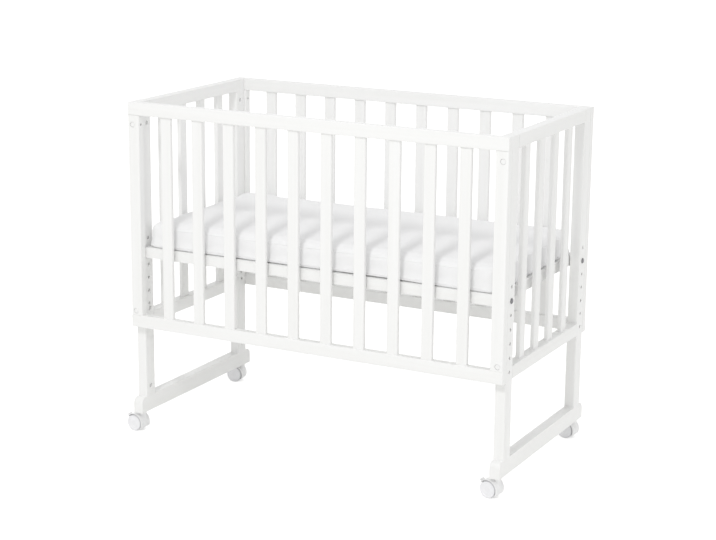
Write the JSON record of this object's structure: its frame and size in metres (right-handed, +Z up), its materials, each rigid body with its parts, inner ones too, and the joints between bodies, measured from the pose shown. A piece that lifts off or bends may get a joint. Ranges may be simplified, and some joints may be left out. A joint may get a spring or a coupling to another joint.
{
  "type": "bedside sleeper crib",
  "caption": "White slatted bedside crib on two castored end frames, with a mattress on a height-adjustable base.",
  "frame": {"origin": "on the floor, under the middle of the outline that the box and the trailing castors make together", "axes": "+X along the crib to its right end, +Y to its back, +Z up"},
  "size_m": [0.9923, 0.5, 0.805],
  "materials": {
    "white_lacquered_beech": "satin white lacquer over solid beech",
    "natural_beech": "satin white lacquer over solid beech, slats and base frame",
    "mattress_cover": "plain woven cotton cover",
    "castor_plastic": "white satin moulded plastic",
    "wheel_plastic": "pale grey moulded plastic",
    "white_capped_steel": "steel bolt with a white head",
    "dark_steel": "burnished steel",
    "zinc_steel": "bright zinc plating"
  },
  "bodies": {
    "crib_frame": {"front_top_rail": "white_lacquered_beech", "front_bottom_rail": "white_lacquered_beech", "front_stile_left": "white_lacquered_beech", "front_stile_right": "white_lacquered_beech", "front_slats": "white_lacquered_beech", "back_top_rail": "white_lacquered_beech", "back_bottom_rail": "white_lacquered_beech", "back_stile_left": "white_lacquered_beech", "back_stile_right": "white_lacquered_beech", "back_slats": "white_lacquered_beech", "left_top_rail": "white_lacquered_beech", "left_bottom_rail": "white_lacquered_beech", "left_post_front": "white_lacquered_beech", "left_post_back": "white_lacquered_beech", "left_foot_bar": "white_lacquered_beech", "left_slats": "white_lacquered_beech", "right_top_rail": "white_lacquered_beech", "right_bottom_rail": "white_lacquered_beech", "right_post_front": "white_lacquered_beech", "right_post_back": "white_lacquered_beech", "right_foot_bar": "white_lacquered_beech", "right_slats": "white_lacquered_beech", "base_front_rail": "natural_beech", "base_back_rail": "natural_beech", "base_left_rail": "natural_beech", "base_right_rail": "natural_beech", "base_slats": "natural_beech", "side_bolts": "white_capped_steel", "side_barrel_nuts": "zinc_steel", "base_bolts": "dark_steel", "base_barrel_nuts": "zinc_steel", "foot_bolts": "zinc_steel", "foot_barrel_nuts": "zinc_steel", "castor_front_left_stem": "zinc_steel", "castor_front_right_stem": "zinc_steel", "castor_back_left_stem": "zinc_steel", "castor_back_right_stem": "zinc_steel"},
    "mattress": {"mattress": "mattress_cover"},
    "castor_front_left": {"castor_front_left_housing": "castor_plastic", "castor_front_left_axle": "zinc_steel"},
    "castor_front_left_wheel_outer": {"castor_front_left_wheel_outer": "wheel_plastic"},
    "castor_front_left_wheel_inner": {"castor_front_left_wheel_inner": "wheel_plastic"},
    "castor_front_left_brake_lever": {"castor_front_left_brake_lever": "castor_plastic"},
    "castor_front_right": {"castor_front_right_housing": "castor_plastic", "castor_front_right_axle": "zinc_steel"},
    "castor_front_right_wheel_outer": {"castor_front_right_wheel_outer": "wheel_plastic"},
    "castor_front_right_wheel_inner": {"castor_front_right_wheel_inner": "wheel_plastic"},
    "castor_front_right_brake_lever": {"castor_front_right_brake_lever": "castor_plastic"},
    "castor_back_left": {"castor_back_left_housing": "castor_plastic", "castor_back_left_axle": "zinc_steel"},
    "castor_back_left_wheel_outer": {"castor_back_left_wheel_outer": "wheel_plastic"},
    "castor_back_left_wheel_inner": {"castor_back_left_wheel_inner": "wheel_plastic"},
    "castor_back_left_brake_lever": {"castor_back_left_brake_lever": "castor_plastic"},
    "castor_back_right": {"castor_back_right_housing": "castor_plastic", "castor_back_right_axle": "zinc_steel"},
    "castor_back_right_wheel_outer": {"castor_back_right_wheel_outer": "wheel_plastic"},
    "castor_back_right_wheel_inner": {"castor_back_right_wheel_inner": "wheel_plastic"},
    "castor_back_right_brake_lever": {"castor_back_right_brake_lever": "castor_plastic"}
  },
  "joints": [
    {"name": "mattress_lift", "type": "slide", "parent": "crib_frame", "child": "mattress", "axis": [0, 0, 1], "range_m": [0, 0.4]},
    {"name": "castor_front_left_swivel", "type": "hinge", "parent": "crib_frame", "child": "castor_front_left", "pos_m": [-0.45317, -0.23, 0.048], "axis": [0, 0, 1], "continuous": true},
    {"name": "castor_front_left_outer_wheel_spin", "type": "hinge", "parent": "castor_front_left", "child": "castor_front_left_wheel_outer", "pos_m": [-0.46915, -0.22916, 0.02], "axis": [0.0523, 0.9986, 0], "continuous": true},
    {"name": "castor_front_left_inner_wheel_spin", "type": "hinge", "parent": "castor_front_left", "child": "castor_front_left_wheel_inner", "pos_m": [-0.46915, -0.22916, 0.02], "axis": [0.0523, 0.9986, 0], "continuous": true},
    {"name": "castor_front_left_brake", "type": "hinge", "parent": "castor_front_left", "child": "castor_front_left_brake_lever", "pos_m": [-0.47969, -0.22861, 0.0295], "axis": [-0.0523, -0.9986, 0], "range_deg": [0, 14]},
    {"name": "castor_front_right_swivel", "type": "hinge", "parent": "crib_frame", "child": "castor_front_right", "pos_m": [0.48183, -0.23, 0.048], "axis": [0, 0, 1], "continuous": true},
    {"name": "castor_front_right_outer_wheel_spin", "type": "hinge", "parent": "castor_front_right", "child": "castor_front_right_wheel_outer", "pos_m": [0.46599, -0.22777, 0.02], "axis": [0.1392, 0.9903, 0], "continuous": true},
    {"name": "castor_front_right_inner_wheel_spin", "type": "hinge", "parent": "castor_front_right", "child": "castor_front_right_wheel_inner", "pos_m": [0.46599, -0.22777, 0.02], "axis": [0.1392, 0.9903, 0], "continuous": true},
    {"name": "castor_front_right_brake", "type": "hinge", "parent": "castor_front_right", "child": "castor_front_right_brake_lever", "pos_m": [0.45554, -0.22631, 0.0295], "axis": [-0.1392, -0.9903, 0], "range_deg": [0, 14]},
    {"name": "castor_back_left_swivel", "type": "hinge", "parent": "crib_frame", "child": "castor_back_left", "pos_m": [-0.45317, 0.23, 0.048], "axis": [0, 0, 1], "continuous": true},
    {"name": "castor_back_left_outer_wheel_spin", "type": "hinge", "parent": "castor_back_left", "child": "castor_back_left_wheel_outer", "pos_m": [-0.46893, 0.22722, 0.02], "axis": [-0.1736, 0.9848, 0], "continuous": true},
    {"name": "castor_back_left_inner_wheel_spin", "type": "hinge", "parent": "castor_back_left", "child": "castor_back_left_wheel_inner", "pos_m": [-0.46893, 0.22722, 0.02], "axis": [-0.1736, 0.9848, 0], "continuous": true},
    {"name": "castor_back_left_brake", "type": "hinge", "parent": "castor_back_left", "child": "castor_back_left_brake_lever", "pos_m": [-0.47932, 0.22539, 0.0295], "axis": [0.1736, -0.9848, 0], "range_deg": [0, 14]},
    {"name": "castor_back_right_swivel", "type": "hinge", "parent": "crib_frame", "child": "castor_back_right", "pos_m": [0.48183, 0.23, 0.048], "axis": [0, 0, 1], "continuous": true},
    {"name": "castor_back_right_outer_wheel_spin", "type": "hinge", "parent": "castor_back_right", "child": "castor_back_right_wheel_outer", "pos_m": [0.46589, 0.23139, 0.02], "axis": [0.0872, 0.9962, 0], "continuous": true},
    {"name": "castor_back_right_inner_wheel_spin", "type": "hinge", "parent": "castor_back_right", "child": "castor_back_right_wheel_inner", "pos_m": [0.46589, 0.23139, 0.02], "axis": [0.0872, 0.9962, 0], "continuous": true},
    {"name": "castor_back_right_brake", "type": "hinge", "parent": "castor_back_right", "child": "castor_back_right_brake_lever", "pos_m": [0.45538, 0.23231, 0.0295], "axis": [-0.0872, -0.9962, 0], "range_deg": [0, 14]}
  ]
}
